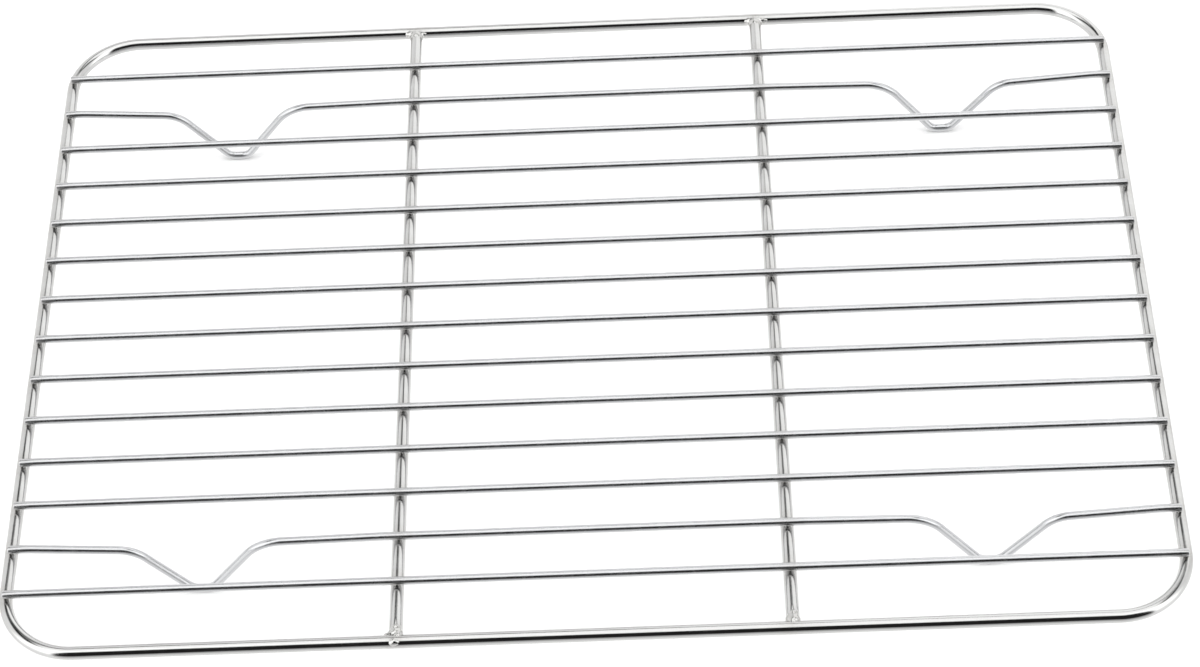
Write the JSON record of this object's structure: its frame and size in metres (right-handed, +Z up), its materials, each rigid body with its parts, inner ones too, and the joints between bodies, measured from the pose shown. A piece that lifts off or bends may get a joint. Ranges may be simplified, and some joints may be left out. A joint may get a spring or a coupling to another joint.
{
  "type": "footed wire cooling rack",
  "caption": "Footed wire cooling rack: a rounded rectangular rim with crossbars carries a grid of parallel wires, some bent down into V-shaped feet so air passes under food set on top.",
  "frame": {"origin": "on the surface it stands on, under the middle of the rack", "axes": "+X along the grid wires, the rack's long way; +Y to the back, along the crossbars; +Z up from the feet to the grid"},
  "size_m": [0.42, 0.305, 0.03],
  "materials": {
    "thick_wire": "polished",
    "thin_wire": "polished",
    "weld": "satin"
  },
  "bodies": {
    "root": {"front_foot_wire": "thin_wire", "grid_wire_01": "thin_wire", "grid_wire_03": "thin_wire", "grid_wire_04": "thin_wire", "grid_wire_05": "thin_wire", "grid_wire_06": "thin_wire", "grid_wire_07": "thin_wire", "grid_wire_08": "thin_wire", "grid_wire_09": "thin_wire", "grid_wire_10": "thin_wire", "grid_wire_11": "thin_wire", "grid_wire_12": "thin_wire", "grid_wire_14": "thin_wire", "left_crossbar": "thick_wire", "left_front_weld": "weld", "left_rear_weld": "weld", "rear_foot_wire": "thin_wire", "right_crossbar": "thick_wire", "right_front_weld": "weld", "right_rear_weld": "weld", "rim_butt_weld": "weld", "rim_frame": "thick_wire"}
  },
  "joints": []
}
